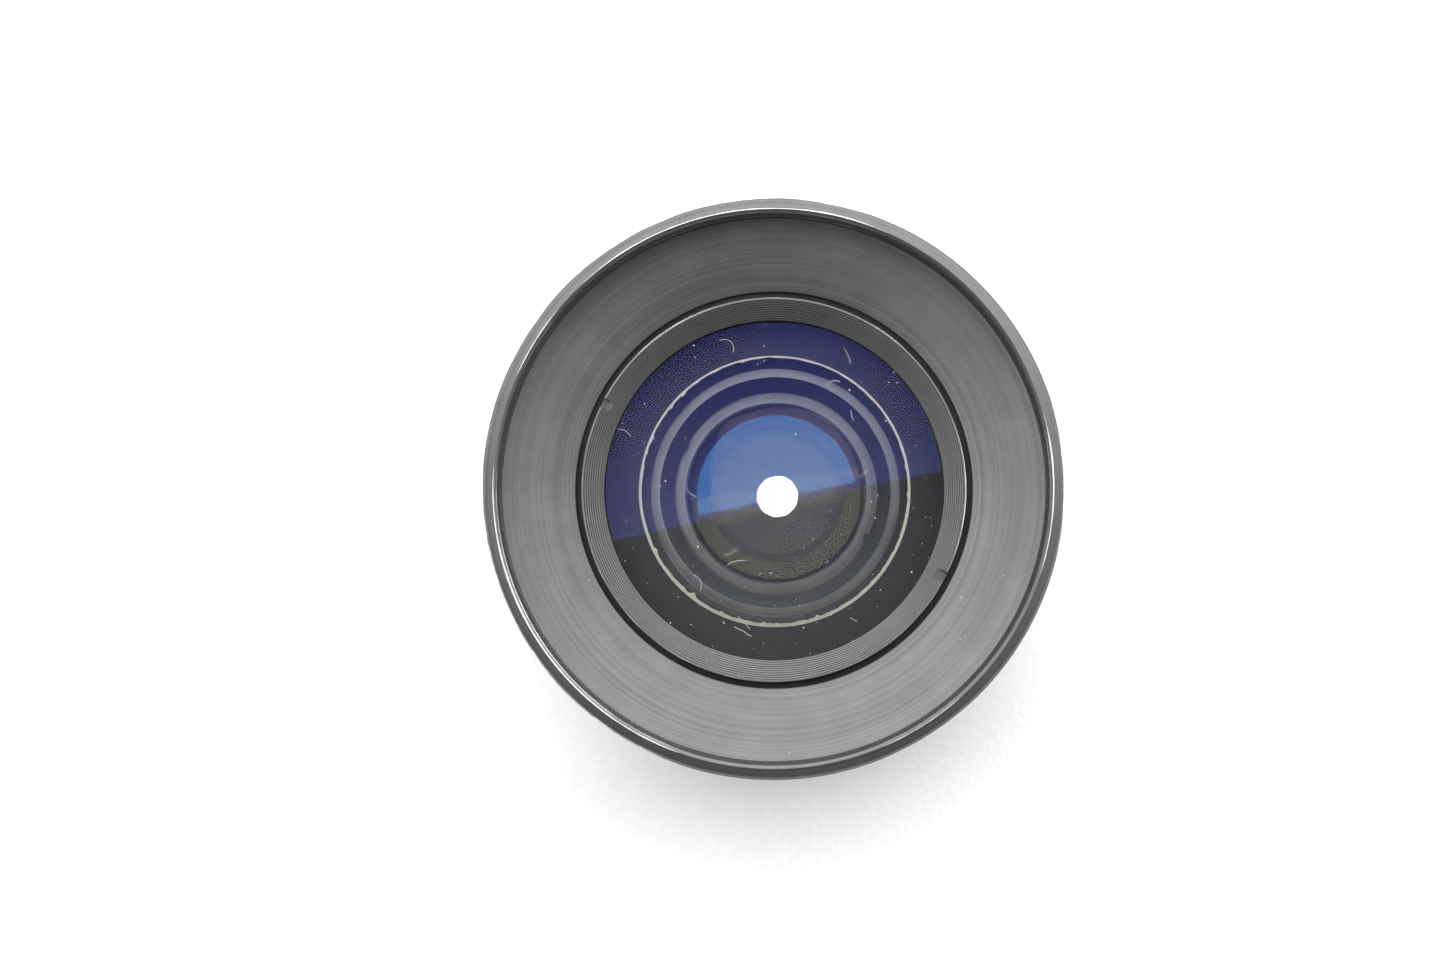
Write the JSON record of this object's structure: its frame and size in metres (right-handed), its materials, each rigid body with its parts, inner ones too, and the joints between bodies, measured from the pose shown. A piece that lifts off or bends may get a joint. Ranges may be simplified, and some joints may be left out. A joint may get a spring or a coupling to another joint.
{
  "type": "enlarger lens",
  "caption": "Wide-angle darkroom enlarger lens with a flared front, click-stop aperture ring, working iris of overlapping blades, coated glass and a screw-in rear mount.",
  "frame": {"origin": "centre of the rear screw mount, in the plane of the flange face that rests on the lens board", "axes": "+Z along the optical axis from the rear mount to the front glass; +X from the axis to the index dot and the click-stop ball"},
  "size_m": [0.058, 0.058, 0.043],
  "materials": {
    "bell_black": "satin black anodised, turned, bright where the edges have worn",
    "barrel_black": "satin black anodised",
    "ring_black": "satin black anodised, fluted grip and engraved white numbers",
    "inner_black": "matt black anodised against stray light",
    "screw_steel": "blackened steel",
    "ball_steel": "polished ball bearing steel",
    "spring_steel": "bright spring wire",
    "blade_steel": "thin blackened spring steel",
    "lens_glass": "polished optical glass with a purple antireflection coating"
  },
  "bodies": {
    "lens_body": {"front_bell": "bell_black", "bell_set_screws": "screw_steel", "front_cell": "inner_black", "front_retaining_ring": "bell_black", "front_meniscus": "lens_glass", "baffle_spacer": "inner_black", "inner_retaining_ring": "inner_black", "second_lens": "lens_glass", "third_lens": "lens_glass", "third_lens_ring": "inner_black", "main_barrel": "barrel_black", "iris_base_ring": "inner_black", "iris_cover_ring": "inner_black", "index_ring": "ring_black", "index_set_screws": "screw_steel", "detent_spring": "spring_steel", "rear_cell": "inner_black", "doublet_ring": "inner_black", "doublet_crown": "lens_glass", "doublet_flint": "lens_glass", "rear_lens": "lens_glass", "rear_retaining_ring": "inner_black", "mount_ring": "barrel_black"},
    "aperture_ring_body": {"aperture_ring": "ring_black", "iris_cam_ring": "inner_black", "aperture_drive_screw": "screw_steel"},
    "detent_ball_body": {"detent_ball": "ball_steel"},
    "iris_blade_01_body": {"iris_blade_01": "blade_steel"},
    "iris_blade_02_body": {"iris_blade_02": "blade_steel"},
    "iris_blade_03_body": {"iris_blade_03": "blade_steel"},
    "iris_blade_04_body": {"iris_blade_04": "blade_steel"},
    "iris_blade_05_body": {"iris_blade_05": "blade_steel"},
    "iris_blade_06_body": {"iris_blade_06": "blade_steel"},
    "iris_blade_07_body": {"iris_blade_07": "blade_steel"},
    "iris_blade_08_body": {"iris_blade_08": "blade_steel"},
    "iris_blade_09_body": {"iris_blade_09": "blade_steel"},
    "iris_blade_10_body": {"iris_blade_10": "blade_steel"}
  },
  "joints": [
    {"name": "aperture_turn", "type": "hinge", "parent": "lens_body", "child": "aperture_ring_body", "pos_m": [0, 0, 0], "axis": [0, 0, 1], "range_deg": [-36.96, 13.04]},
    {"name": "blade_01_turn", "type": "hinge", "parent": "lens_body", "child": "iris_blade_01_body", "pos_m": [0.0095, 0, 0], "axis": [0, 0, 1], "range_deg": [-21.51, 7.59]},
    {"name": "blade_02_turn", "type": "hinge", "parent": "lens_body", "child": "iris_blade_02_body", "pos_m": [0.00769, 0.00558, 0], "axis": [0, 0, 1], "range_deg": [-21.51, 7.59]},
    {"name": "blade_03_turn", "type": "hinge", "parent": "lens_body", "child": "iris_blade_03_body", "pos_m": [0.00294, 0.00904, 0], "axis": [0, 0, 1], "range_deg": [-21.51, 7.59]},
    {"name": "blade_04_turn", "type": "hinge", "parent": "lens_body", "child": "iris_blade_04_body", "pos_m": [-0.00294, 0.00904, 0], "axis": [0, 0, 1], "range_deg": [-21.51, 7.59]},
    {"name": "blade_05_turn", "type": "hinge", "parent": "lens_body", "child": "iris_blade_05_body", "pos_m": [-0.00769, 0.00558, 0], "axis": [0, 0, 1], "range_deg": [-21.51, 7.59]},
    {"name": "blade_06_turn", "type": "hinge", "parent": "lens_body", "child": "iris_blade_06_body", "pos_m": [-0.0095, 0, 0], "axis": [0, 0, 1], "range_deg": [-21.51, 7.59]},
    {"name": "blade_07_turn", "type": "hinge", "parent": "lens_body", "child": "iris_blade_07_body", "pos_m": [-0.00769, -0.00558, 0], "axis": [0, 0, 1], "range_deg": [-21.51, 7.59]},
    {"name": "blade_08_turn", "type": "hinge", "parent": "lens_body", "child": "iris_blade_08_body", "pos_m": [-0.00294, -0.00904, 0], "axis": [0, 0, 1], "range_deg": [-21.51, 7.59]},
    {"name": "blade_09_turn", "type": "hinge", "parent": "lens_body", "child": "iris_blade_09_body", "pos_m": [0.00294, -0.00904, 0], "axis": [0, 0, 1], "range_deg": [-21.51, 7.59]},
    {"name": "blade_10_turn", "type": "hinge", "parent": "lens_body", "child": "iris_blade_10_body", "pos_m": [0.00769, -0.00558, 0], "axis": [0, 0, 1], "range_deg": [-21.51, 7.59]},
    {"name": "detent_lift", "type": "slide", "parent": "lens_body", "child": "detent_ball_body", "axis": [0, 0, 1], "range_m": [0, 0.00025], "deforming": ["detent_spring"]}
  ],
  "couplings": [
    {"joint": "blade_01_turn", "follows": "aperture_turn", "ratio": 0.58193},
    {"joint": "blade_02_turn", "follows": "aperture_turn", "ratio": 0.58193},
    {"joint": "blade_03_turn", "follows": "aperture_turn", "ratio": 0.58193},
    {"joint": "blade_04_turn", "follows": "aperture_turn", "ratio": 0.58193},
    {"joint": "blade_05_turn", "follows": "aperture_turn", "ratio": 0.58193},
    {"joint": "blade_06_turn", "follows": "aperture_turn", "ratio": 0.58193},
    {"joint": "blade_07_turn", "follows": "aperture_turn", "ratio": 0.58193},
    {"joint": "blade_08_turn", "follows": "aperture_turn", "ratio": 0.58193},
    {"joint": "blade_09_turn", "follows": "aperture_turn", "ratio": 0.58193},
    {"joint": "blade_10_turn", "follows": "aperture_turn", "ratio": 0.58193}
  ]
}
